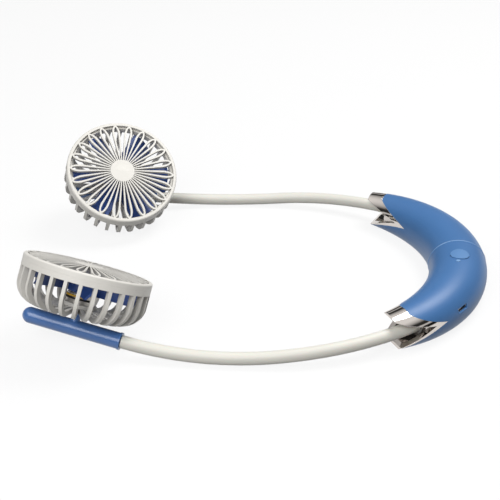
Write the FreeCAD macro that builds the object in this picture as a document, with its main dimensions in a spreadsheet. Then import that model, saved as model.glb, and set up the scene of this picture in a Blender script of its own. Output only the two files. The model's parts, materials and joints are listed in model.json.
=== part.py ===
"""Electric neck fan: a curved neck housing, two bending arms and two caged fan heads on swivel tubes."""
import FreeCAD, Part
import math
import os

V = FreeCAD.Vector
X = V(1, 0, 0)
Z = V(0, 0, 1)
doc = FreeCAD.newDocument("neck_fan")

# Driving sizes, in millimetres and degrees.
SIZES = [
    # Neck housing
    ("neck_radius", 91.0),
    ("sweep_angle", 63.8),
    ("overrun_angle", 10.0),
    ("mid_half_width", 18.3),
    ("mid_half_height", 16.5),
    ("end_half_width", 11.6),
    ("end_half_height", 10.9),
    ("end_drop", 1.0),
    ("foot_cut", 5.5),
    ("shell_wall", 2.0),
    ("cover_thickness", 2.2),
    ("cover_angle", 40.0),
    # Clearances: shell seam, pieces that stay together, turning pieces, and pieces that must not touch
    ("seam_gap", 0.1),
    ("bead_raise", 0.2),
    ("bead_width", 0.7),
    ("fit_gap", 0.1),
    ("running_gap", 0.06),
    ("moving_gap", 0.35),
    # Bright end trims
    ("trim_band", 8.5),
    ("notch_depth", 27.4),
    ("notch_upper_height", 8.5),
    ("notch_lower_height", 10.7),
    ("notch_raise", 1.8),
    ("notch_lead", 6.0),
    ("mouth_set", 3.0),
    ("mouth_depth", 24.1),
    ("mouth_upper_height", 6.5),
    ("mouth_lower_height", 10.5),
    ("mouth_lead", -4.0),
    ("spigot_length", 6.0),
    ("spigot_wall", 1.3),
    ("bulkhead_set", 18.4),
    ("bulkhead_thickness", 8.6),
    ("gland_offset", 3.75),
    ("gland_wall", 1.3),
    ("gland_length", 8.0),
    ("gland_lip", 0.8),
    # Bending arms
    ("gooseneck_radius", 3.85),
    ("gooseneck_wall", 1.7),
    ("exit_angle", 54.3),
    ("dip_angle", 1.8),
    ("arm_start_back", 203.6),
    ("arm_start_side", 95.4),
    ("arm_start_height", 9.1),
    ("arm_turn_angle", 12.8),
    ("arm_rise_angle", 9.6),
    ("core_grip", 5.0),
    # Button, light pipe, board, charging socket and battery
    ("button_angle", 11.5),
    ("button_radius", 5.75),
    ("button_raise", 0.6),
    ("button_travel", 0.6),
    ("flange_width", 1.3),
    ("flange_thickness", 1.2),
    ("stem_radius", 1.5),
    ("pipe_gap", 0.9),
    ("pipe_radius", 1.3),
    ("pipe_raise", 0.25),
    ("pipe_tail", 0.6),
    ("board_length", 44.0),
    ("board_width", 15.0),
    ("board_thickness", 1.6),
    ("board_height", 10.0),
    ("board_shift", 8.0),
    ("post_radius", 2.2),
    ("switch_width", 6.0),
    ("switch_height", 3.5),
    ("plunger_radius", 1.7),
    ("plunger_height", 1.0),
    ("port_angle", 35.8),
    ("port_height", 14.9),
    ("socket_width", 9.0),
    ("socket_tall", 2.5),
    ("socket_depth", 7.0),
    ("socket_wall", 0.35),
    ("socket_recess", 0.8),
    ("tongue_width", 5.4),
    ("tongue_thickness", 0.6),
    ("battery_radius", 7.0),
    ("battery_length", 44.0),
    ("battery_gap", 6.0),
    # Swivel tubes
    ("arm_length", 56.0),
    ("head_offset", 1.5),
    ("arm_radius", 4.8),
    ("arm_wall", 0.75),
    ("lip_raise", 0.35),
    ("lip_length", 1.2),
    ("bush_length", 20.0),
    ("shoulder_step", 0.7),
    ("clip_width", 0.8),
    ("groove_depth", 0.6),
    ("bush_tail", 1.2),
    ("cap_plug", 3.0),
    ("boss_height", 3.7),
    ("boss_foot_radius", 3.0),
    ("boss_top_radius", 2.2),
    ("lean_angle_left", 28.1),
    ("lean_angle_right", 39.0),
    # Fan heads
    ("head_radius", 38.0),
    ("ring_width", 2.3),
    ("ring_round", 1.1),
    ("grille_band", 3.7),
    ("grille_dome", 1.4),
    ("cage_band", 3.2),
    ("band_wall", 2.6),
    ("rim_depth", 1.4),
    ("rim_wall", 1.2),
    ("petals", 22),
    ("petal_rib", 1.35),
    ("petal_root_rib", 0.72),
    ("petal_thickness", 2.0),
    ("petal_half_width", 2.7),
    ("petal_root_half_width", 0.8),
    ("petal_tip_length", 7.0),
    ("hub_radius", 8.2),
    ("fins", 28),
    ("fin_thickness", 2.1),
    ("fin_width", 3.0),
    ("fin_root", 1.3),
    ("fin_bend", 12.5),
    ("fin_tip_drop", 1.6),
    ("plate_thickness", 2.6),
    ("seat_height", 2.0),
    ("seat_wall", 1.6),
    ("motor_radius", 8.6),
    ("motor_height", 5.6),
    ("motor_gap", 1.0),
    ("motor_collar_radius", 3.0),
    ("motor_collar_height", 0.6),
    ("motor_floor", 1.0),
    ("shaft_radius", 1.0),
    ("tip_gap", 1.4),
    ("wheel_gap", 0.6),
    ("wheel_depth", 10.5),
    ("wheel_hub_radius", 9.6),
    ("wheel_wall", 1.4),
    ("wheel_boss_wall", 1.6),
    ("blades", 6),
    ("blade_thickness", 1.2),
    ("blade_chord", 19.0),
    ("blade_camber", 1.6),
    ("blade_angle", 40.0),
    ("lead_radius", 0.55),
    ("lead_turn_angle", 150.0),
    ("lead_bend", 1.6),
    ("lead_depth", 1.3),
    ("lead_step", 1.4),
    ("lead_spread_angle", 25.0),
    ("screw_radius", 1.2),
    ("screw_length", 5.0),
    ("screw_head_radius", 2.4),
    ("screw_head_height", 1.3),
]

sheet = doc.addObject("Spreadsheet::Sheet", "sizes")
for row, (alias, number) in enumerate(SIZES, start=1):
    sheet.set("A%d" % row, alias)
    sheet.set("B%d" % row, repr(number))
    sheet.setAlias("B%d" % row, alias)
doc.recompute()
nodes = []


def size(alias):
    return float(sheet.get(alias))


def node(label, feature, placement=None):
    """Name a finished sub-part and put it in its place."""
    feature.Label = label
    if placement is not None:
        feature.Placement = placement
    nodes.append(feature)


def formed(label, shape, placement=FreeCAD.Placement()):
    """A sub-part whose outline no primitive gives."""
    feature = doc.addObject("Part::Feature", label)
    feature.Shape = shape
    node(label, feature, placement)


def bound(kind, base, axis, **expressions):
    """A primitive tied to the sheet, standing at base along axis."""
    feature = doc.addObject("Part::" + kind, kind.lower())
    feature.Placement = FreeCAD.Placement(base, FreeCAD.Rotation(Z, axis))
    for prop, text in expressions.items():
        feature.setExpression(prop, text)
    return feature


def cylinder(radius, height, base=V(), axis=Z):
    return bound("Cylinder", base, axis, Radius=radius, Height=height)


def box(length, width, height, corner):
    return bound("Box", corner, Z, Length=length, Width=width, Height=height)


def cut(base, *tools):
    for tool in tools:
        feature = doc.addObject("Part::Cut", "cut")
        feature.Base = base
        feature.Tool = tool
        base = feature
    return base


def fuse(*parts):
    feature = doc.addObject("Part::MultiFuse", "fuse")
    feature.Shapes = list(parts)
    return feature


def merged(shape):
    """The solid of a boolean result, without the seams between faces that lie on one surface."""
    return shape.removeSplitter().Solids[0]


def rod(radius, length, base, axis=Z):
    return Part.makeCylinder(radius, length, base, axis)


# Neck housing: its centre line is an arc round (-neck_radius, 0), and angle 0 is the back of the neck.
R = size("neck_radius")
ZC = size("mid_half_height") - size("foot_cut")
SWEEP = size("sweep_angle")
WALL = size("shell_wall")
FIT = size("fit_gap")
RUN = size("running_gap")
MOVING = size("moving_gap")
FLOOR_TOP = size("cover_thickness")
REACH = 400.0


def radial(angle):
    """Outward direction at an angle, which grows towards the left arm."""
    return V(math.cos(math.radians(angle)), -math.sin(math.radians(angle)), 0)


def along(angle):
    return V(-math.sin(math.radians(angle)), -math.cos(math.radians(angle)), 0)


def on_line(angle, offset=0.0, height=0.0):
    return V(-R, 0, height) + radial(angle) * (R + offset)


def arc_degrees(length):
    return math.degrees(length / R)


def oval_sizes(angle):
    """Half width, half height and centre height of the housing's oval at an angle."""
    share = (angle / SWEEP) ** 2
    wide = size("mid_half_width") + (size("end_half_width") - size("mid_half_width")) * share
    tall = size("mid_half_height") + (size("end_half_height") - size("mid_half_height")) * share
    return wide, tall, ZC - size("end_drop") * share


def section(angle, inset):
    """The housing's oval across its centre line, drawn in by inset."""
    wide, tall, centre = oval_sizes(angle)
    points = []
    for step in range(16):
        turn = math.pi * step / 8
        points.append(on_line(angle, (wide - inset) * math.cos(turn), centre + (tall - inset) * math.sin(turn)))
    curve = Part.BSplineCurve()
    curve.interpolate(points, True)
    return Part.Wire(curve.toShape())


SPANS = 5
half_forms = {}


def half_form(inset):
    """The left half of the housing form, drawn in by inset and running past the middle and the end."""
    key = round(inset, 4)
    if key not in half_forms:
        step = 2 * (SWEEP + size("overrun_angle")) / (2 * SPANS - 1)
        angles = [step * (i - 0.5) for i in range(SPANS + 1)]
        half_forms[key] = Part.makeLoft([section(angle, inset) for angle in angles], True, False)
    return half_forms[key]


def mirrored(shape):
    return shape.mirror(V(), V(0, 1, 0))


def block(low_x=-REACH, low_y=-REACH, low_z=-REACH, high_x=REACH, high_y=REACH, high_z=REACH):
    """Space between two corners, open to the working reach where a limit is left out."""
    return Part.makeBox(high_x - low_x, high_y - low_y, high_z - low_z, V(low_x, low_y, low_z))


def outline_face(*edges):
    return Part.Face(Part.Wire(list(edges)))


BOW_SHARE = 0.44  # how deep a notch's sides are half way up, where 0.5 is straight


def past_edge(name, set_back):
    """Everything beyond a notched edge at the left end, whose lower jaw reaches further than the upper one."""
    depth = size(name + "_depth")
    lead = size(name + "_lead") / 2
    far = R / 2
    way = along(SWEEP)
    origin = on_line(SWEEP, -far, ZC + size("notch_raise")) - way * set_back

    def at(reach, height):
        return origin + way * reach + Z * height

    def jaw(tip, height, limit):
        return at(tip, height), at(tip / 2 - depth * BOW_SHARE, height / 2), at(tip, limit)

    root = at(-depth, 0)
    upper, upper_bow, upper_far = jaw(-lead, size(name + "_upper_height"), far)
    lower, lower_bow, lower_far = jaw(lead, -size(name + "_lower_height"), -far)
    corners = [upper, upper_far, at(far, far), at(far, -far), lower_far, lower]
    edges = [Part.makeLine(first, second) for first, second in zip(corners, corners[1:])]
    edges += [Part.Arc(lower, lower_bow, root).toShape(), Part.Arc(root, upper_bow, upper).toShape()]
    return outline_face(*edges).extrude(radial(SWEEP) * R)


beyond_shell = past_edge("notch", size("trim_band"))
beyond_spigot = past_edge("notch", size("trim_band") + size("spigot_length"))
beyond_mouth = past_edge("mouth", size("mouth_set"))
seam = size("seam_gap") / 2
cover_edge = on_line(size("cover_angle")).x
outer = half_form(0).common(block(high_y=-seam, low_z=0))
hollow = half_form(WALL).cut(block(high_x=cover_edge, high_z=FLOOR_TOP))
half_shell = outer.cut(hollow).cut(beyond_shell)

# Openings in the left shell: button, light pipe and charging port.
button_at = on_line(size("button_angle"))
pipe_reach = size("button_radius") + size("pipe_gap") + size("pipe_radius")
PIPE_ANGLE = size("button_angle") + arc_degrees(pipe_reach)
pipe_at = on_line(PIPE_ANGLE)
PORT = size("port_angle")
port_wide, port_tall, port_centre = oval_sizes(PORT)
port_face = port_wide * math.sqrt(1 - ((size("port_height") - port_centre) / port_tall) ** 2)
socket_back = port_face - size("socket_recess") - size("socket_depth")
socket_low = size("port_height") - size("socket_tall") / 2
socket_place = FreeCAD.Placement(on_line(PORT, socket_back, socket_low), FreeCAD.Rotation(Z, -PORT))
port_hole = block(0, -size("socket_width") / 2 - FIT, -FIT, R / 2, size("socket_width") / 2 + FIT,
                  size("socket_tall") + FIT)
port_hole.Placement = socket_place
button_hole = rod(size("button_radius") + MOVING / 2, R, button_at + Z * ZC)
pipe_hole = rod(size("pipe_radius") + FIT / 2, R, pipe_at + Z * ZC)
bead = half_form(-size("bead_raise")).cut(half_form(WALL / 2))
bead = bead.common(block(low_y=-size("bead_width"), high_y=-seam, low_z=FLOOR_TOP))
formed("shell_left", half_shell.cut([button_hole, pipe_hole, port_hole]).fuse(bead).Solids[0])
formed("shell_right", mirrored(half_shell).Solids[0])

# Underside cover, with two posts under the circuit board.
half_cover = half_form(WALL + FIT).common(block(low_x=cover_edge + FIT, high_y=0, low_z=0, high_z=FLOOR_TOP))
post_reach = size("board_length") / 2 - 2 * size("post_radius")
posts = [rod(size("post_radius"), size("board_height"), V(0, reach - size("board_shift"), 0))
         for reach in (-post_reach, post_reach)]
formed("base_cover", merged(half_cover.multiFuse([mirrored(half_cover)] + posts)))

# Circuit board and switch.
board_corner = V(-size("board_width") / 2, -size("board_length") / 2 - size("board_shift"), size("board_height"))
node("circuit_board", box("sizes.board_width", "sizes.board_length", "sizes.board_thickness", board_corner))
board_top = size("board_height") + size("board_thickness")
half_switch = size("switch_width") / 2
switch_corner = button_at + V(-half_switch, -half_switch, board_top)
node("tact_switch", fuse(
    box("sizes.switch_width", "sizes.switch_width", "sizes.switch_height", switch_corner),
    cylinder("sizes.plunger_radius", "sizes.switch_height + sizes.plunger_height", button_at + Z * board_top)))

# Charging socket: a thin steel box with a tongue.
half_socket = size("socket_width") / 2
thin = size("socket_wall")
socket = cut(
    box("sizes.socket_depth", "sizes.socket_width", "sizes.socket_tall", V(0, -half_socket, 0)),
    box("sizes.socket_depth", "sizes.socket_width - 2 * sizes.socket_wall",
        "sizes.socket_tall - 2 * sizes.socket_wall", V(thin, thin - half_socket, thin)))
tongue_corner = V(0, -size("tongue_width") / 2, (size("socket_tall") - size("tongue_thickness")) / 2)
tongue = box("sizes.socket_depth - 2 * sizes.socket_wall", "sizes.tongue_width", "sizes.tongue_thickness",
             tongue_corner)
node("usb_socket", fuse(socket, tongue), socket_place)

# Where each arm leaves the housing.
BULKHEAD = SWEEP - arc_degrees(size("bulkhead_set"))

# Battery, lying on the cover in the right half beside the bulkhead.
battery_end = BULKHEAD - arc_degrees(size("gland_length") + size("battery_gap"))
battery_angle = battery_end - math.degrees(math.atan(size("battery_length") / 2 / R))
battery_way = along(-battery_angle)
battery_mid = on_line(-battery_angle, 0, FLOOR_TOP + size("battery_radius") + FIT)
node("battery_cell", cylinder("sizes.battery_radius", "sizes.battery_length",
                              battery_mid - battery_way * (size("battery_length") / 2), battery_way))

# Power button: a cap that follows the housing, a flange inside it and a stem over the switch.
button_wide, button_tall, button_centre = oval_sizes(size("button_angle"))
flange_radius = size("button_radius") + size("flange_width")
drop = (button_tall - WALL) * (1 - math.sqrt(1 - (flange_radius / (button_wide - WALL)) ** 2))
flange_top = button_centre + button_tall - WALL - drop - MOVING
flange_low = flange_top - size("flange_thickness")
stem_low = board_top + size("switch_height") + size("plunger_height") + size("button_travel") + MOVING
button = rod(size("button_radius"), R, button_at + Z * flange_low).common(half_form(-size("button_raise")))
button = button.fuse(rod(flange_radius, size("flange_thickness"), button_at + Z * flange_low))
button = button.fuse(rod(size("stem_radius"), flange_top - stem_low, button_at + Z * stem_low))
formed("power_button", merged(button))

pipe_wide, pipe_tall, pipe_centre = oval_sizes(PIPE_ANGLE)
pipe_top = pipe_centre + pipe_tall
node("light_pipe", cylinder("sizes.pipe_radius", "sizes.shell_wall + sizes.pipe_raise + sizes.pipe_tail",
                            pipe_at + Z * (pipe_top - WALL - size("pipe_tail"))))


def tilted(turn, climb):
    """A unit vector turned about Z from -X and raised from level."""
    level = V(-math.cos(math.radians(climb)), 0, math.sin(math.radians(climb)))
    return FreeCAD.Rotation(Z, turn).multVec(level)


def ring_face(radius, bore=0.0, at=V(), way=Z):
    disc = Part.Face(Part.Wire(Part.makeCircle(radius, at, way)))
    if bore > 0:
        disc = disc.cut(Part.Face(Part.Wire(Part.makeCircle(bore, at, way)))).Faces[0]
    return disc


def arc_tube(radius, bore, start, way, end):
    """A round tube on the one arc that leaves start along way and reaches end."""
    chord = end - start
    bend = chord - way * chord.dot(way)
    bend.normalize()
    arc_radius = chord.dot(chord) / (2 * chord.dot(bend))
    turn = math.atan2(chord.dot(way), arc_radius - chord.dot(bend))
    face = ring_face(radius, bore, start, way)
    return face.revolve(start + bend * arc_radius, way.cross(bend), math.degrees(turn))


class Arm:
    """Route of one bending arm: two tangent arcs from the bulkhead to the swivel tube."""

    def __init__(self, side):
        self.start = on_line(side * BULKHEAD, size("gland_offset"), ZC)
        self.way = tilted(side * (90 - size("exit_angle")), -size("dip_angle"))
        self.end = V(-size("arm_start_back"), -side * size("arm_start_side"), size("arm_start_height"))
        self.end_way = tilted(-side * size("arm_turn_angle"), size("arm_rise_angle"))
        chord = self.end - self.start
        both = self.way + self.end_way
        spread = 1 - self.way.dot(self.end_way)
        root = math.sqrt(chord.dot(both) ** 2 + 2 * spread * chord.dot(chord))
        lead = (root - chord.dot(both)) / (2 * spread)
        self.middle = (self.start + self.end + (self.way - self.end_way) * lead) * 0.5

    def tubes(self, radius, bore=0.0):
        first = arc_tube(radius, bore, self.start, self.way, self.middle)
        second = arc_tube(radius, bore, self.end, self.end_way * -1, self.middle)
        return first, second


arms = {"left": Arm(1), "right": Arm(-1)}
NECK_R = size("gooseneck_radius")
NECK_BORE = NECK_R - size("gooseneck_wall")
CORE_R = NECK_BORE - RUN / 2
GLAND_R = NECK_R + RUN / 2 + size("gland_wall")
lining_inset = WALL + FIT + size("spigot_wall")
LINING_LOW = FLOOR_TOP + FIT

# Bright end trim: notched band, lining inside the shell, and a thick bulkhead with the gland's bore.
arm = arms["left"]
rear = arm.start - arm.way * size("bulkhead_thickness")
filled = half_form(WALL + FIT).cut(block(high_z=LINING_LOW))
lining = filled.cut(half_form(lining_inset).cut(block(high_z=LINING_LOW + size("spigot_wall"))))
band = outer.cut(half_form(lining_inset)).common(beyond_shell)
pieces = [lining.common(beyond_spigot), lining.common(rod(R / 2, R, rear, arm.way))]
trim = band.multiFuse(pieces).cut(beyond_mouth)
bulkhead = filled.common(rod(R / 2, size("bulkhead_thickness"), rear, arm.way))
gland_bore = rod(GLAND_R + FIT / 2, R, arm.start - arm.way * (R / 2), arm.way)
trim = trim.fuse(bulkhead).cut(gland_bore).Solids[0]
formed("end_trim_left", trim)
formed("end_trim_right", mirrored(trim).Solids[0])

for name, arm in arms.items():
    first, second = arm.tubes(NECK_R, NECK_BORE)
    formed("gooseneck_sleeve_" + name, merged(first.fuse(second)))
    first, second = arm.tubes(CORE_R)
    tail = size("gland_length")
    core = first.multiFuse([second, rod(CORE_R, tail, arm.start - arm.way * tail, arm.way),
                            rod(CORE_R, size("core_grip"), arm.end, arm.end_way)])
    formed("gooseneck_core_" + name, merged(core))
    lip = size("gland_lip")
    gland = rod(GLAND_R, size("gland_length") + lip, arm.start - arm.way * size("gland_length"), arm.way)
    core_way = rod(CORE_R + RUN / 2, R, arm.start - arm.way * (R / 2), arm.way)
    gland = gland.cut([core_way, arm.tubes(NECK_R + RUN / 2)[0]])
    formed("gland_" + name, merged(gland))

# Fan heads, drawn with the swivel tube along X, its open end at -X, and the fan facing +Z.
ARM_R = size("arm_radius")
OPEN = size("arm_length") / 2 + size("head_offset")
CAPPED = size("arm_length") - OPEN
REAR = ARM_R + size("boss_height")
PLATE_LOW = REAR + size("fin_tip_drop")
PLATE_TOP = PLATE_LOW + size("plate_thickness")
SEAT_TOP = PLATE_TOP + size("seat_height")
CAN_TOP = SEAT_TOP + size("motor_height")
WHEEL_LOW = CAN_TOP + size("motor_gap")
WHEEL_TOP = WHEEL_LOW + size("wheel_depth")
BAND_TOP = WHEEL_TOP + size("wheel_gap")
BAND_LOW = BAND_TOP - size("cage_band")
FACE = BAND_TOP + size("grille_band")
HEAD_R = size("head_radius")
RING_R = HEAD_R - size("ring_width")
RIM_R = RING_R - FIT
WHEEL_R = RIM_R - size("rim_wall") - size("tip_gap")
SEAT_R = size("motor_radius") + size("seat_wall")


def at_height(shape, height):
    shape.translate(Z * height)
    return shape


def ring(radius, bore, low, high):
    return ring_face(radius, bore, Z * low).extrude(Z * (high - low))


def spun(shape, alias):
    """Copies of a shape, evenly round Z."""
    count = int(size(alias))
    copies = []
    for i in range(count):
        copy = shape.copy()
        copy.rotate(V(), Z, 360.0 * i / count)
        copies.append(copy)
    return copies


def petal_outline(inset):
    """One petal in plan along X: two straight ribs and a rounded tip at the rim, drawn in by inset."""
    root = size("hub_radius") - size("petal_rib")
    shoulder = RING_R + FIT - size("petal_tip_length")
    half = size("petal_half_width") - inset
    foot = size("petal_root_half_width") - inset * size("petal_root_rib") / size("petal_rib")
    middle = V(shoulder, 0, 0)
    oval = Part.Ellipse(middle + X * (size("petal_tip_length") - inset), middle + V(0, half, 0), middle)
    points = [V(shoulder, half, 0), V(root, foot, 0), V(root, -foot, 0), V(shoulder, -half, 0)]
    edges = [Part.makeLine(first, second) for first, second in zip(points, points[1:])]
    return outline_face(*edges, Part.ArcOfEllipse(oval, -math.pi / 2, math.pi / 2).toShape())


def grille_shape():
    """A slightly domed disc with windows in and between the petals, and a side band."""
    dome = size("grille_dome")
    thick = size("petal_thickness")
    hub = size("hub_radius")
    ball = (RING_R ** 2 + dome ** 2) / (2 * dome)
    bevel = size("ring_round")
    on_bevel = V(HEAD_R - bevel, 0, FACE - bevel) + V(1, 0, 1).normalize() * bevel

    def on_dome(radius, lower):
        return V(radius, 0, FACE + dome - ball + math.sqrt(ball ** 2 - radius ** 2) - lower)

    profile = outline_face(
        Part.Arc(on_dome(0, 0), on_dome(RING_R / 2, 0), on_dome(RING_R, 0)).toShape(),
        Part.makeLine(on_dome(RING_R, 0), V(HEAD_R - bevel, 0, FACE)),
        Part.Arc(V(HEAD_R - bevel, 0, FACE), on_bevel, V(HEAD_R, 0, FACE - bevel)).toShape(),
        Part.makeLine(V(HEAD_R, 0, FACE - bevel), V(HEAD_R, 0, BAND_TOP)),
        Part.makeLine(V(HEAD_R, 0, BAND_TOP), V(RING_R, 0, BAND_TOP)),
        Part.makeLine(V(RING_R, 0, BAND_TOP), on_dome(RING_R, thick)),
        Part.Arc(on_dome(RING_R, thick), on_dome(RING_R / 2, thick), on_dome(0, thick)).toShape(),
        Part.makeLine(on_dome(0, thick), on_dome(0, 0)))
    disc = profile.revolve(V(), Z, 360)
    between = ring_face(RING_R, hub).cut(spun(petal_outline(0), "petals")).Faces
    within = spun(petal_outline(size("petal_rib")).cut(ring_face(hub)).Faces[0], "petals")
    windows = [at_height(face.extrude(Z * (dome + 3 * thick)), FACE - 2 * thick) for face in between + within]
    return merged(Part.Solid(disc.Shells[0]).cut(windows))


def cage_shape():
    """Band, rim inside the grille, curved fins with pointed tips, motor cup and its seat."""
    bend = size("fin_bend")
    low = REAR + bend
    mid = HEAD_R - bend
    width = size("fin_width")
    inner = bend - width
    thick = size("fin_thickness")
    inside = SEAT_R - size("seat_wall") / 2
    top = BAND_LOW + size("fin_root")

    def on_bend(radius, turn):
        return V(mid + radius * math.sin(turn), 0, low - radius * math.cos(turn))

    eighth = math.pi / 4
    tip = on_bend(bend, 0)
    fin = outline_face(
        Part.makeLine(V(HEAD_R, 0, top), on_bend(bend, 2 * eighth)),
        Part.Arc(on_bend(bend, 2 * eighth), on_bend(bend, eighth), tip).toShape(),
        Part.makeLine(tip, V(inside, 0, PLATE_LOW)),
        Part.makeLine(V(inside, 0, PLATE_LOW), V(inside, 0, PLATE_TOP)),
        Part.makeLine(V(inside, 0, PLATE_TOP), on_bend(inner, 0)),
        Part.Arc(on_bend(inner, 0), on_bend(inner, eighth), on_bend(inner, 2 * eighth)).toShape(),
        Part.makeLine(on_bend(inner, 2 * eighth), V(HEAD_R - width, 0, top)),
        Part.makeLine(V(HEAD_R - width, 0, top), V(HEAD_R, 0, top)))
    fin = fin.extrude(V(0, thick, 0))
    fin.translate(V(0, -thick / 2, 0))
    band = ring(HEAD_R, HEAD_R - size("band_wall"), BAND_LOW, BAND_TOP)
    rim = ring(RIM_R, RIM_R - size("rim_wall"), BAND_LOW, BAND_TOP + size("rim_depth"))
    plate = rod(SEAT_R, size("plate_thickness"), Z * PLATE_LOW)
    seat = ring(SEAT_R, size("motor_radius") - size("seat_wall"), PLATE_LOW, SEAT_TOP)
    cage = band.multiFuse([rim, plate, seat] + spun(fin, "fins"))
    screw_way = rod(size("screw_radius") + FIT / 2, FACE, V())
    head_seat = rod(size("screw_head_radius") + FIT, FACE, Z * (PLATE_TOP - size("screw_head_height")))
    return merged(cage.cut([screw_way, head_seat.common(rod(SEAT_R, SEAT_TOP, V()))]))


def wheel_shape():
    """Hub cup and shaft boss with curved, pitched blades."""
    hub = size("wheel_hub_radius")
    wall = size("wheel_wall")
    cup = rod(hub, WHEEL_TOP - WHEEL_LOW, Z * WHEEL_LOW)
    cup = cup.cut(rod(hub - wall, WHEEL_TOP - wall - WHEEL_LOW, Z * WHEEL_LOW))
    boss_low = (WHEEL_LOW + WHEEL_TOP) / 2
    boss = rod(size("shaft_radius") + size("wheel_boss_wall"), WHEEL_TOP - boss_low, Z * boss_low)
    half = size("blade_chord") / 2
    thick = size("blade_thickness")
    camber = size("blade_camber")
    start = hub - wall

    def at(side, height):
        return V(start, side * half, height)

    blade = outline_face(
        Part.Arc(at(-1, 0), at(0, camber), at(1, 0)).toShape(), Part.makeLine(at(1, 0), at(1, -thick)),
        Part.Arc(at(1, -thick), at(0, camber - thick), at(-1, -thick)).toShape(),
        Part.makeLine(at(-1, -thick), at(-1, 0)))
    blade = blade.extrude(X * HEAD_R)
    blade.rotate(V(), X, size("blade_angle"))
    zone = ring(WHEEL_R, hub - wall / 2, WHEEL_LOW, WHEEL_TOP)
    blade = at_height(blade, (WHEEL_LOW + WHEEL_TOP) / 2).common(zone)
    wheel = cup.multiFuse([boss] + spun(blade, "blades"))
    return merged(wheel.cut(rod(size("shaft_radius"), WHEEL_TOP - wall / 2, V())))


def lead_shape(level, start_angle):
    """One motor lead: part of a turn round the motor, then down to the cup's edge."""
    radius = size("lead_radius")
    bend = size("lead_bend")
    at = V(size("motor_radius") + radius + RUN, 0, level)
    turn = ring_face(radius, 0, at, V(0, 1, 0)).revolve(Z * level, Z, size("lead_turn_angle"))
    elbow = ring_face(radius, 0, at, V(0, -1, 0)).revolve(at - Z * bend, X, 90)
    run = rod(radius, level - bend - SEAT_TOP, V(at.x, -bend, SEAT_TOP))
    for piece in (turn, elbow, run):
        piece.rotate(V(), Z, start_angle)
    return merged(turn.multiFuse([elbow, run]))


grille = grille_shape()
cage = cage_shape()
wheel = wheel_shape()
yellow_level = CAN_TOP - size("lead_depth")
leads = {"yellow": lead_shape(yellow_level, -size("lead_spread_angle")),
         "black": lead_shape(yellow_level - size("lead_step"), 0)}
BORE = "sizes.arm_radius - sizes.arm_wall"
BUSH = BORE + " - sizes.shoulder_step - sizes.running_gap"
GROOVE = BUSH + " - sizes.groove_depth"

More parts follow.
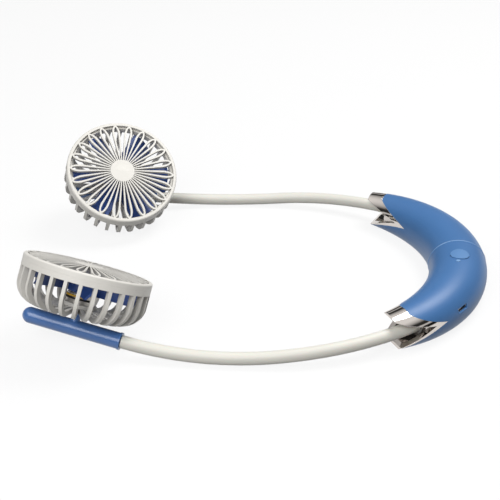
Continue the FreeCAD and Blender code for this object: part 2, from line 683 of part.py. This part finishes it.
for name, side in (("left", 1), ("right", -1)):
    arm = arms[name]
    arm.centre = arm.end + arm.end_way * (MOVING + OPEN)
    level = arm.end_way.cross(Z)
    level.normalize()
    lean = math.radians(side * size("lean_angle_" + name))
    arm.face_way = level.cross(arm.end_way) * math.cos(lean) + level * math.sin(lean)
    place = FreeCAD.Placement(arm.centre, FreeCAD.Rotation(arm.end_way, V(), arm.face_way, "XZY"))

    # Swivel: a bush fixed on the arm's end, kept in the tube by a clip behind a shoulder.
    bush_low = X * (-OPEN - MOVING)
    shoulder = -OPEN + size("bush_length") - size("bush_tail") - size("clip_width") - MOVING
    clip_low = X * (shoulder + MOVING)
    groove = cut(cylinder(BORE, "sizes.clip_width + sizes.fit_gap", clip_low, X),
                 cylinder(GROOVE, "sizes.clip_width + sizes.fit_gap", clip_low, X))
    socket_bore = cylinder("sizes.gooseneck_radius - sizes.gooseneck_wall", "sizes.core_grip + sizes.fit_gap",
                           bush_low, X)
    bush = cylinder(BUSH, "sizes.bush_length + sizes.moving_gap", bush_low, X)
    node("swivel_bush_" + name, cut(bush, socket_bore, groove), place)
    clip_at = clip_low + X * (FIT / 2)
    node("swivel_clip_" + name, cut(
        cylinder(BORE + " - sizes.moving_gap", "sizes.clip_width", clip_at, X),
        cylinder(GROOVE + " + sizes.fit_gap / 2", "sizes.clip_width", clip_at, X)), place)

    # Tube with a lip at its mouth and a boss under the cage, and its domed cap.
    boss = bound("Cone", Z * (ARM_R - size("arm_wall")), Z, Radius1="sizes.boss_foot_radius",
                 Radius2="sizes.boss_top_radius",
                 Height="sizes.arm_wall + sizes.boss_height + sizes.fin_tip_drop")
    tube = fuse(cylinder("sizes.arm_radius", "sizes.arm_length", X * -OPEN, X),
                cylinder("sizes.arm_radius + sizes.lip_raise", "sizes.lip_length", X * -OPEN, X), boss)
    node("swivel_arm_" + name, cut(
        tube, cylinder(BUSH + " + sizes.running_gap", "sizes.arm_length", X * -OPEN, X),
        cylinder(BORE, "sizes.arm_length", X * shoulder, X),
        cylinder("sizes.screw_radius", "sizes.arm_radius + sizes.boss_height + sizes.fin_tip_drop", V())), place)
    dome = bound("Sphere", X * CAPPED, X, Radius="sizes.arm_radius")
    dome.Angle1 = 0
    plug = cylinder(BORE + " - sizes.fit_gap / 2", "sizes.cap_plug", X * (CAPPED - size("cap_plug")), X)
    node("arm_cap_" + name, fuse(dome, plug), place)

    formed("rear_cage_" + name, cage.copy(), place)
    formed("front_grille_" + name, grille.copy(), place)
    formed("impeller_" + name, wheel.copy(), place)

    # Motor: can with a bearing collar, and its shaft up into the wheel.
    can = rod(size("motor_radius"), CAN_TOP - SEAT_TOP, Z * SEAT_TOP)
    can = can.fuse(rod(size("motor_collar_radius"), size("motor_collar_height"), Z * CAN_TOP))
    shaft_low = SEAT_TOP + size("motor_floor")
    can = can.cut(rod(size("shaft_radius") + RUN, FACE, Z * shaft_low))
    formed("motor_can_" + name, merged(can), place)
    shaft_length = WHEEL_TOP - size("wheel_wall") / 2 - shaft_low - MOVING
    formed("motor_shaft_" + name, rod(size("shaft_radius"), shaft_length, Z * (shaft_low + MOVING)), place)
    for colour in leads:
        formed("lead_%s_%s" % (colour, name), leads[colour].copy(), place)
    head_low = Z * (PLATE_TOP - size("screw_head_height"))
    node("cage_screw_" + name, fuse(
        cylinder("sizes.screw_head_radius", "sizes.screw_head_height", head_low),
        cylinder("sizes.screw_radius - sizes.fit_gap / 2", "sizes.screw_length",
                 head_low - Z * (size("screw_length") - size("screw_head_height")))), place)

doc.recompute()
bad = [f.Label for f in doc.Objects if "Invalid" in f.State or "Error" in f.State]
bad += [f.Label for f in nodes if f.Shape.isNull() or not f.Shape.isValid()]
if bad:
    raise RuntimeError("not built: " + ", ".join(bad))
os.makedirs("parts", exist_ok=True)
for f in nodes:
    f.Shape.exportStep("parts/%s.step" % f.Label)
    print("%-24s solids %d volume %.1f" % (f.Label, len(f.Shape.Solids), f.Shape.Volume))
for name in arms:
    arm = arms[name]
    for label in ("start", "way", "middle", "end", "end_way", "centre", "face_way"):
        print(name, label, [round(c, 3) for c in getattr(arm, label)])
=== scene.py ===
"""Looks of the neck fan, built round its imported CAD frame."""
import json
import math

import bmesh
import bpy
from mathutils import Matrix, Vector


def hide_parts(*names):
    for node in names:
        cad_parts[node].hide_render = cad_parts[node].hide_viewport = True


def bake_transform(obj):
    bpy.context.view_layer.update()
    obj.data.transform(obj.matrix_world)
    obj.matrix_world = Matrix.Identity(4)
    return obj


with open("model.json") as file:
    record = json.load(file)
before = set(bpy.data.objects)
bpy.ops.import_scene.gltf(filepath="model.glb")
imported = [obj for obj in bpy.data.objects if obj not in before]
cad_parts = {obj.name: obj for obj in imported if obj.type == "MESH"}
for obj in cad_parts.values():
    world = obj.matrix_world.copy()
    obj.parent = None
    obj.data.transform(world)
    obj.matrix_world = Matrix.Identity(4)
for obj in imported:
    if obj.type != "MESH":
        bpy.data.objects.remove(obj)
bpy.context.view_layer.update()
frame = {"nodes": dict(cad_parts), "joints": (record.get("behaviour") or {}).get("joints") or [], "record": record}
joints = {joint["name"]: joint for joint in frame["joints"]}
MM = 0.001

# Camera, as found from the photograph: a square frame, seen from the fan's left side and above.
FOCAL_PIXELS = 1128.0
FRAME_PIXELS = 500.0
SENSOR = 36.0
CAMERA_TURN = math.radians(1.73)
CAMERA_RISE = math.radians(28.49)
CAMERA_DISTANCE = 725.0 * MM
CAMERA_NEAREST = 10.0 * MM
LOOK_AT = Vector((-132.85, 0.0, 18.4)) * MM


def add_camera():
    level = Vector((-math.sin(CAMERA_TURN), math.cos(CAMERA_TURN), 0.0))
    way = level * math.cos(CAMERA_RISE) - Vector((0.0, 0.0, math.sin(CAMERA_RISE)))
    right = Vector((level.y, -level.x, 0.0))
    turn = Matrix((right, right.cross(way), -way)).transposed()
    data = bpy.data.cameras.new("camera")
    data.sensor_width = SENSOR
    data.lens = FOCAL_PIXELS * SENSOR / FRAME_PIXELS
    data.clip_start = CAMERA_NEAREST
    camera = bpy.data.objects.new("camera", data)
    camera.matrix_world = Matrix.Translation(LOOK_AT - way * CAMERA_DISTANCE) @ turn.to_4x4()
    bpy.context.collection.objects.link(camera)
    bpy.context.scene.camera = camera


# Materials.
def linear(code):
    """An sRGB hex colour as linear RGBA."""
    channels = [int(code[i:i + 2], 16) / 255 for i in (1, 3, 5)]
    return [c / 12.92 if c <= 0.04045 else ((c + 0.055) / 1.055) ** 2.4 for c in channels] + [1.0]


def shaded(colour, factor):
    """A linear colour made lighter or darker."""
    return [min(1.0, c * factor) for c in colour[:3]] + [1.0]


def add(tree, kind, inputs, **settings):
    """The outputs of a new node; each input is a value or another node's output."""
    made = tree.nodes.new(kind)
    for key, value in settings.items():
        setattr(made, key, value)
    for key, value in inputs.items():
        if isinstance(value, bpy.types.NodeSocket):
            tree.links.new(value, made.inputs[key])
        else:
            made.inputs[key].default_value = value
    return made.outputs


# Sockets of a Mix node that mixes colours. They go by number, because several sockets share each name.
SHARE = 0
FIRST = 6
SECOND = 7
MIXED = 2

# Slow changes of gloss and colour run over about 17 mm. Moulding grain is near 0.1 mm, which is too fine
# to show, so it is drawn at 0.55 mm.
CLOUD = 17.0 * MM
CLOUD_DETAIL = 4.0
GRAIN = 0.55 * MM
GRAIN_DEPTH = 0.2 * MM

# Edges look rounded over 0.3 mm. A painted highlight lightens the colour of edges, most where the rounding turns
# the surface by this cosine.
EDGE = 0.3 * MM
EDGE_COSINE = 0.8
EDGE_HIGHLIGHT_TONE = 3.0

# Painted shade: hollows that are closed in by their own piece within 16 mm are darker in colour.
RECESS = 16.0 * MM
RECESS_RAYS = 16
RECESS_SHADE_TONE = 0.2

# A painted highlight along the line where the housing's halves meet, to each side of the symmetry plane.
SEAM_HIGHLIGHT_HALF = 0.45 * MM


def make_material(name, colour, rough, spread=0.05, relief=0.02, shade=0.06, painted_edge_highlight=0.0, seam_highlight=None,
                  painted_recess_shade=0.0, **shader):
    """A surface with softened edges, fine grain, and slow changes of gloss and colour.

    Edges can get a painted highlight and hollows painted shade; the seam colour paints a highlight line along the
    symmetry plane."""
    made = bpy.data.materials.new(name)
    made.use_nodes = True
    tree = made.node_tree
    principled = tree.nodes["Principled BSDF"].inputs
    base = linear(colour)
    where = add(tree, "ShaderNodeTexCoord", {})["Object"]
    pattern = {"Vector": where, "Scale": 1 / CLOUD, "Detail": CLOUD_DETAIL}
    cloud = add(tree, "ShaderNodeTexNoise", pattern)["Fac"]
    grain = add(tree, "ShaderNodeTexNoise", {"Vector": where, "Scale": 1 / GRAIN})["Fac"]
    limits = {"Value": cloud, "To Min": rough - spread, "To Max": rough + spread}
    gloss = add(tree, "ShaderNodeMapRange", limits)["Result"]
    tree.links.new(gloss, principled["Roughness"])
    tones = {SHARE: cloud, FIRST: shaded(base, 1 - shade), SECOND: shaded(base, 1 + shade)}
    tint = add(tree, "ShaderNodeMix", tones, data_type="RGBA")[MIXED]
    soft = add(tree, "ShaderNodeBevel", {"Radius": EDGE})["Normal"]
    # Painted highlight: the colour is lightened where the softened normal turns away from the flat one.
    if painted_edge_highlight:
        flat = add(tree, "ShaderNodeNewGeometry", {})["Normal"]
        cosine = add(tree, "ShaderNodeVectorMath", {0: soft, 1: flat}, operation="DOT_PRODUCT")["Value"]
        limits = {"Value": cosine, "From Min": 1.0, "From Max": EDGE_COSINE, "To Max": painted_edge_highlight}
        edge_highlight = add(tree, "ShaderNodeMapRange", limits)["Result"]
        tones = {SHARE: edge_highlight, FIRST: tint, SECOND: shaded(base, EDGE_HIGHLIGHT_TONE)}
        tint = add(tree, "ShaderNodeMix", tones, data_type="RGBA")[MIXED]
    # Painted shade: the colour is darkened where the piece closes round the surface.
    if painted_recess_shade:
        reach = {"Distance": RECESS}
        room = add(tree, "ShaderNodeAmbientOcclusion", reach, samples=RECESS_RAYS, only_local=True)["AO"]
        hollow_shade = add(tree, "ShaderNodeMapRange", {"Value": room, "To Min": painted_recess_shade, "To Max": 0.0})["Result"]
        tones = {SHARE: hollow_shade, FIRST: tint, SECOND: shaded(base, RECESS_SHADE_TONE)}
        tint = add(tree, "ShaderNodeMix", tones, data_type="RGBA")[MIXED]
    # Painted highlight: a pale line along the symmetry plane, where the halves meet.
    if seam_highlight:
        across = add(tree, "ShaderNodeSeparateXYZ", {"Vector": where})["Y"]
        line = add(tree, "ShaderNodeMath", {0: across, 1: 0.0, 2: SEAM_HIGHLIGHT_HALF}, operation="COMPARE")[0]
        tones = {SHARE: line, FIRST: tint, SECOND: linear(seam_highlight)}
        tint = add(tree, "ShaderNodeMix", tones, data_type="RGBA")[MIXED]
    tree.links.new(tint, principled["Base Color"])
    grains = {"Strength": relief, "Distance": GRAIN_DEPTH, "Height": grain, "Normal": soft}
    tree.links.new(add(tree, "ShaderNodeBump", grains)["Normal"], principled["Normal"])
    for key, value in shader.items():
        principled[key.replace("_", " ")].default_value = value
    return made


POLISH = {"Coat_Weight": 0.35, "Coat_Roughness": 0.16}
METAL = {"Metallic": 1.0}
MATERIALS = {
    # A satin sheen on the curves, painted highlights on the edges and on the line between the halves.
    "blue_shell": make_material("moulded blue abs", "#4471a6", rough=0.39, painted_edge_highlight=0.6, seam_highlight="#9dbbe0",
                                Specular_IOR_Level=0.38),
    # Smoother than the housing: a narrow bright light along the tube, and a painted highlight on its edges.
    "arm_blue": make_material("polished blue abs tube", "#4871ae", rough=0.33, painted_edge_highlight=0.3, **POLISH),
    # Dull and even, on the housing's flat underside.
    "blue_cover": make_material("matt blue abs", "#34547f", rough=0.55),
    # The housing's sheen in a lighter blue, so that the button stands out, with a painted highlight on its rim.
    "button": make_material("moulded light blue abs", "#5a86b9", rough=0.38, painted_edge_highlight=0.3),
    # A broad, soft sheen, with painted shade in the gaps between fins and petals.
    "white_cage": make_material("moulded warm white abs", "#e1ded7", rough=0.45, shade=0.03, painted_recess_shade=0.75),
    # A deep colour behind the petals, with soft lights where the blades turn.
    "blue_blade": make_material("moulded deep blue polypropylene", "#2c4a8a", rough=0.35),
    # Nearly black, with a weak sheen.
    "switch": make_material("black nylon", "#18181a", rough=0.45),
    # Dark grey, a little shinier than the nylon.
    "bush_plastic": make_material("turned black acetal", "#202022", rough=0.4),
    # A pale dot near the button, with a clear sheen.
    "light_window": make_material("frosted light blue polycarbonate", "#7fa6d2", rough=0.25, relief=0.0),
    # A warm mirror that shows the room in bright and dark bands, with painted shade darkening its notch.
    "chrome_trim": make_material("chromium plated abs", "#d2cbc5", rough=0.04, spread=0.02, relief=0.0,
                                 shade=0.02, painted_recess_shade=0.85, **METAL),
    # Matt off-white, with a little light under its skin.
    "silicone": make_material("extruded off-white silicone", "#dddbd2", rough=0.5, shade=0.03,
                              Subsurface_Weight=0.06, Subsurface_Scale=3.0 * MM),
    # Matt grey that takes hardly any highlight.
    "gland_rubber": make_material("moulded grey rubber", "#8b8a88", rough=0.55),
    # A soft, even shine in the charging slot.
    "socket_steel": make_material("formed nickel plated steel", "#b9b9ba", rough=0.28, **METAL),
    # The dullest steel: blurred grey lights.
    "spine_steel": make_material("drawn steel wire", "#9a9a9b", rough=0.35, **METAL),
    # Mid grey with blurred lights.
    "clip_steel": make_material("spring steel", "#a5a5a5", rough=0.3, **METAL),
    # A slightly warm grey that lights up between the fins.
    "motor_steel": make_material("deep drawn steel", "#b4b0ab", rough=0.3, **METAL),
    # The brightest steel: clear, narrow lights.
    "shaft_steel": make_material("ground steel", "#bdbdbd", rough=0.2, **METAL),
    # A slightly cold grey.
    "screw_steel": make_material("zinc plated steel", "#a3a3a6", rough=0.3, **METAL),
    # Dark green with the soft gloss of lacquer.
    "circuit_board": make_material("green solder mask on glass fibre", "#1c5a33", rough=0.4),
    # Grey blue with a clear sheen, like tight film.
    "battery_wrap": make_material("shrunk blue film", "#3a6277", rough=0.3),
    # Waxy yellow that shows between the fins.
    "lead_yellow": make_material("yellow wire insulation", "#d9ab3a", rough=0.4),
    # Waxy black beside it.
    "lead_black": make_material("black wire insulation", "#161616", rough=0.4),
}


def paint_pieces():
    """Give each CAD piece the material that its record names."""
    for part in frame["record"]["subparts"]:
        for holder in frame["nodes"][part["node"]].material_slots:
            holder.material = MATERIALS[part["material_slot"]]


# Bending arms: a silicone sleeve and the steel core in it, on the two arcs that the CAD pieces follow.
# The core also runs straight on into the head's tube (its grip) and into the housing (its tail).
# The left arm's arcs end at HOUSING_END, and SWIVEL_REACH short of the swivel joint.
SLEEVE_RADIUS = 3.85 * MM
SLEEVE_BORE = 2.15 * MM
CORE_RADIUS = 2.12 * MM
CORE_GRIP = 5.0 * MM
CORE_TAIL = 8.0 * MM
HOUSING_END = Vector((-32.947, -74.882, 11.0)) * MM
SWIVEL_REACH = 29.85 * MM
RING_STEPS = 32
ARC_STEPS = 28
SHARP = math.radians(40)


def edges_of(geometry):
    return [piece for piece in geometry if isinstance(piece, bmesh.types.BMEdge)]


def run_straight(bm, ring, shift):
    """Pull a ring along a straight line; gives the last ring."""
    pulled = bmesh.ops.extrude_edge_only(bm, edges=edges_of(ring))["geom"]
    corners = [piece for piece in pulled if isinstance(piece, bmesh.types.BMVert)]
    bmesh.ops.translate(bm, verts=corners, vec=shift)
    return corners + edges_of(pulled)


def turn_round(bm, ring, start, way, end):
    """Spin a ring on the arc that leaves start along way and meets end; gives the last ring and its way."""
    chord = end - start
    bend = (chord - way * chord.dot(way)).normalized()
    radius = chord.length_squared / (2 * chord.dot(bend))
    angle = math.atan2(chord.dot(way), radius - chord.dot(bend))
    axis = way.cross(bend)
    centre = start + bend * radius
    spun = bmesh.ops.spin(bm, geom=ring, cent=centre, axis=axis, angle=angle, steps=ARC_STEPS)
    return spun["geom_last"], Matrix.Rotation(angle, 3, axis) @ way


def add_bending_piece(piece, side, slot, radii, grip=0.0, tail=0.0):
    """A sleeve or a core from the head's tube to the housing; two radii make it hollow."""
    mirror = -1 if side == "right" else 1
    start = Vector((HOUSING_END.x, HOUSING_END.y * mirror, HOUSING_END.z))
    middle = Vector(joints["bend_" + side]["pos_m"])
    swivel = joints["swivel_" + side]
    end_way = Vector(swivel["axis"]).normalized()
    end = Vector(swivel["pos_m"]) - end_way * SWIVEL_REACH
    bm = bmesh.new()
    place = Matrix.Translation(end + end_way * grip) @ end_way.to_track_quat("Z", "Y").to_matrix().to_4x4()
    for radius in radii:
        bmesh.ops.create_circle(bm, segments=RING_STEPS, radius=radius, matrix=place)
    first = bm.verts[:] + bm.edges[:]
    ring = run_straight(bm, first, -end_way * grip) if grip else first
    ring, way = turn_round(bm, ring, end, -end_way, middle)
    last, way = turn_round(bm, ring, middle, way, start)
    if tail:
        last = run_straight(bm, last, way * tail)
    for rim in (first, last):
        if len(radii) > 1:
            bmesh.ops.bridge_loops(bm, edges=edges_of(rim))
        else:
            bmesh.ops.edgeloop_fill(bm, edges=edges_of(rim))
    bmesh.ops.recalc_face_normals(bm, faces=bm.faces)
    for face in bm.faces:
        face.smooth = True
    mesh = bpy.data.meshes.new(f"{piece}_{side}")
    bm.to_mesh(mesh)
    bm.free()
    mesh.set_sharp_from_angle(angle=SHARP)
    mesh.materials.append(MATERIALS[slot])
    made = bpy.data.objects.new(f"{piece}_{side}", mesh)
    bpy.context.collection.objects.link(made)
    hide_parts(f"gooseneck_{piece}_{side}")
    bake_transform(made)


def add_bending_arm(side):
    add_bending_piece("sleeve", side, "silicone", [SLEEVE_RADIUS, SLEEVE_BORE])
    add_bending_piece("core", side, "spine_steel", [CORE_RADIUS], grip=CORE_GRIP, tail=CORE_TAIL)


# Stage.
WHITE = (1.0, 1.0, 1.0, 1.0)
FLOOR_WIDTH = 20.0
FLOOR_DROP = 0.2 * MM
FLOOR_CLEAR = 0.87
FLOOR_SEEN = "#f2f2f2"
FLOOR_LIT = "#7c7c7c"


def add_floor():
    """A white floor that keeps a soft shadow.

    Sight passes through most of it to the white room, and lamps pass through all of it, so that what
    a joint turns below it still shows."""
    bpy.ops.mesh.primitive_plane_add(size=FLOOR_WIDTH, location=(0, 0, -FLOOR_DROP))
    floor = bpy.context.object
    floor.name = "floor"
    made = bpy.data.materials.new("white floor")
    made.use_nodes = True
    tree = made.node_tree
    tree.nodes.clear()
    path = add(tree, "ShaderNodeLightPath", {})
    rays = {0: path["Is Camera Ray"], 1: path["Is Glossy Ray"]}
    seen = add(tree, "ShaderNodeMath", rays, operation="MAXIMUM")[0]
    rays = {0: seen, 1: path["Is Transmission Ray"]}
    seen = add(tree, "ShaderNodeMath", rays, operation="MAXIMUM")[0]
    tones = {SHARE: seen, FIRST: linear(FLOOR_LIT), SECOND: linear(FLOOR_SEEN)}
    tone = add(tree, "ShaderNodeMix", tones, data_type="RGBA")[MIXED]
    matt = add(tree, "ShaderNodeBsdfDiffuse", {"Color": tone})[0]
    clear = add(tree, "ShaderNodeBsdfTransparent", {})[0]
    share = add(tree, "ShaderNodeMath", {0: seen, 1: FLOOR_CLEAR}, operation="MULTIPLY")[0]
    share = add(tree, "ShaderNodeMath", {0: share, 1: path["Is Shadow Ray"]}, operation="MAXIMUM")[0]
    mix = add(tree, "ShaderNodeMixShader", {0: share, 1: matt, 2: clear})[0]
    add(tree, "ShaderNodeOutputMaterial", {"Surface": mix})
    floor.data.materials.append(made)


def add_lamp(name, way, distance, size, power):
    """A round lamp that faces the middle of the fan from the given way."""
    data = bpy.data.lights.new(name, "AREA")
    data.shape = "DISK"
    data.size = size
    data.energy = power
    lamp = bpy.data.objects.new(name, data)
    way = Vector(way).normalized()
    lamp.location = LOOK_AT + way * distance
    lamp.rotation_euler = way.to_track_quat("Z", "Y").to_euler()
    bpy.context.collection.objects.link(lamp)


# Brightness of the room by height, from just over the horizon (0) to straight up (1). All below is white.
ROOM_BANDS = [(0.02, 0.01), (0.2, 0.01), (0.25, 0.7), (0.31, 0.7),
              (0.36, 0.03), (0.52, 0.04), (0.68, 0.6), (0.82, 1.0)]
ROOM_LIGHT = 0.36


def add_room():
    """A studio room: white behind the fan, dim light on it, and light and dark bands that plating shows."""
    world = bpy.data.worlds.new("studio")
    bpy.context.scene.world = world
    world.use_nodes = True
    tree = world.node_tree
    where = add(tree, "ShaderNodeTexCoord", {})["Generated"]
    height = add(tree, "ShaderNodeSeparateXYZ", {"Vector": where})["Z"]
    bands = add(tree, "ShaderNodeValToRGB", {"Fac": height})["Color"]
    stops = bands.node.color_ramp.elements
    stops[0].color = WHITE
    for place, level in ROOM_BANDS:
        stops.new(place).color = (level, level, level, 1.0)
    path = add(tree, "ShaderNodeLightPath", {})
    rays = {0: path["Is Camera Ray"], 1: path["Is Transmission Ray"]}
    seen = add(tree, "ShaderNodeMath", rays, operation="MAXIMUM")[0]
    tones = {SHARE: seen, FIRST: bands, SECOND: WHITE}
    colour = add(tree, "ShaderNodeMix", tones, data_type="RGBA")[MIXED]
    rays = {0: seen, 1: path["Is Glossy Ray"]}
    shown = add(tree, "ShaderNodeMath", rays, operation="MAXIMUM")[0]
    strength = add(tree, "ShaderNodeMapRange", {"Value": shown, "To Min": ROOM_LIGHT})["Result"]
    back = tree.nodes["Background"].inputs
    tree.links.new(colour, back["Color"])
    tree.links.new(strength, back["Strength"])


paint_pieces()
add_bending_arm("left")
add_bending_arm("right")
add_camera()
add_floor()
add_room()
add_lamp("key", way=(0.42, 0.28, 0.86), distance=1.1, size=0.6, power=9.0)
add_lamp("fill", way=(-0.3, -0.7, 0.64), distance=1.0, size=0.7, power=6.6)
bpy.context.scene.view_settings.view_transform = "Standard"
